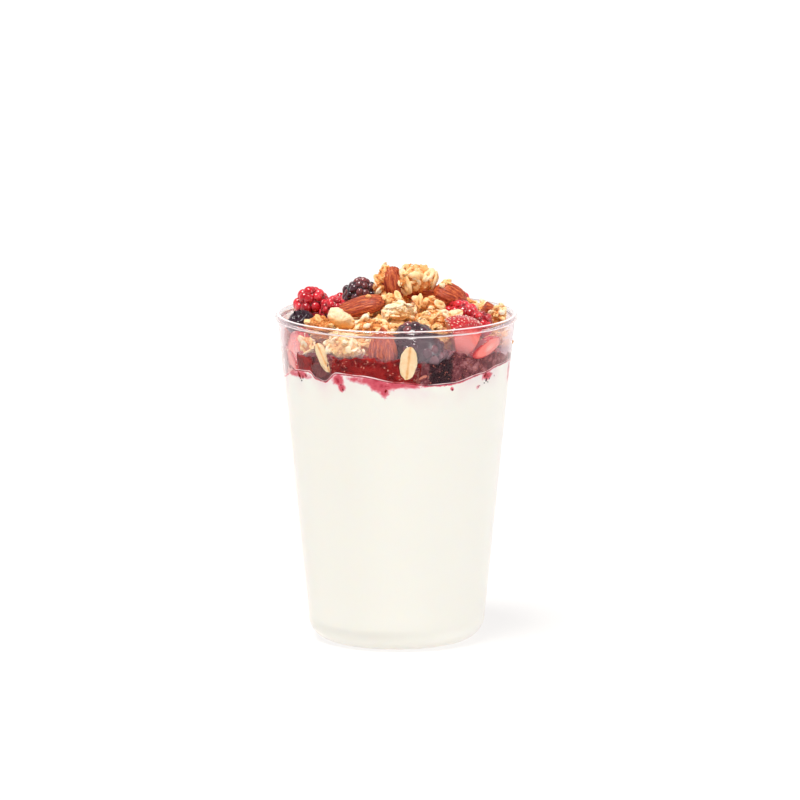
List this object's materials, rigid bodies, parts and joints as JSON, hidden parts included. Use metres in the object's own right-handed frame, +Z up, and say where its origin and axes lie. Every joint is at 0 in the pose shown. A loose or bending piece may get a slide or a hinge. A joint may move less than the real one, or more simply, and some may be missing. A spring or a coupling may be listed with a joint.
{
  "type": "yogurt parfait",
  "caption": "Clear tapered cup of plain yogurt topped with a red fruit layer, berries, strawberry, almonds and granola clusters heaped above the rolled rim.",
  "frame": {"origin": "centre of the underside of the cup's foot", "axes": "+Z up through the open rim, -Y towards the front as it is pictured, +X to the right of that front"},
  "size_m": [0.0798, 0.0798, 0.1255],
  "materials": {
    "clear_wall": "clear, thin and glossy, with a rolled rim that catches bright lines",
    "yogurt": "smooth creamy white, soft sheen, light scattering below the surface",
    "fruit_compote": "wet red fruit with purple parts, seeds and glossy juice",
    "granola": "toasted oat clusters, pale cream to golden brown, dry with a light honey glaze",
    "raspberry": "juicy red drupelets, glossy, slightly translucent",
    "dark_berry": "blackish purple skin, half gloss with a grey bloom",
    "strawberry": "red seeded skin and pale pink wet cut flesh",
    "almond": "ridged reddish brown skin",
    "oat": "pale toasted rolled oat with a creased middle",
    "toasted_nut": "peeled nut, cream on top and golden where toasted"
  },
  "bodies": {
    "root": {"cup": "clear_wall", "yogurt": "yogurt", "fruit_layer": "fruit_compote", "granola_bed": "granola", "granola_cluster_top": "granola", "almond_top": "almond", "granola_cluster_top_left": "granola", "almond_right": "almond", "almond_left": "almond", "dark_berry_top": "dark_berry", "raspberry_left": "raspberry", "raspberry_inner": "raspberry", "dark_berry_small": "dark_berry", "toasted_nut": "toasted_nut", "granola_cluster_left": "granola", "granola_cluster_front": "granola", "granola_cluster_pale": "granola", "granola_cluster_mid": "granola", "granola_cluster_gold": "granola", "oat_flake_curved": "oat", "dark_berry_large": "dark_berry", "granola_cluster_right": "granola", "strawberry_wedge_right": "strawberry", "raspberry_right": "raspberry", "raspberry_edge": "raspberry", "almond_chopped": "almond", "granola_cluster_edge": "granola", "granola_crumb_right": "granola", "oat_flake_front": "oat", "almond_front": "almond", "granola_crumb_wall": "granola", "granola_cluster_wall": "granola", "oat_flake_left": "oat", "granola_cluster_low": "granola", "dark_berry_low": "dark_berry", "strawberry_slice_left": "strawberry", "strawberry_half_left": "strawberry", "strawberry_slice_right": "strawberry", "raspberry_back_left": "raspberry", "granola_cluster_back": "granola", "almond_back": "almond", "dark_berry_back": "dark_berry", "strawberry_wedge_back": "strawberry", "raspberry_back_right": "raspberry", "granola_cluster_back_right": "granola", "granola_cluster_back_left": "granola", "strawberry_slice_back": "strawberry", "granola_cluster_back_wall": "granola", "oat_flake_back": "oat", "dark_berry_back_wall": "dark_berry", "granola_cluster_back_rim": "granola", "dark_berry_back_rim": "dark_berry", "granola_cluster_back_side": "granola", "almond_back_wall": "almond"}
  },
  "joints": []
}
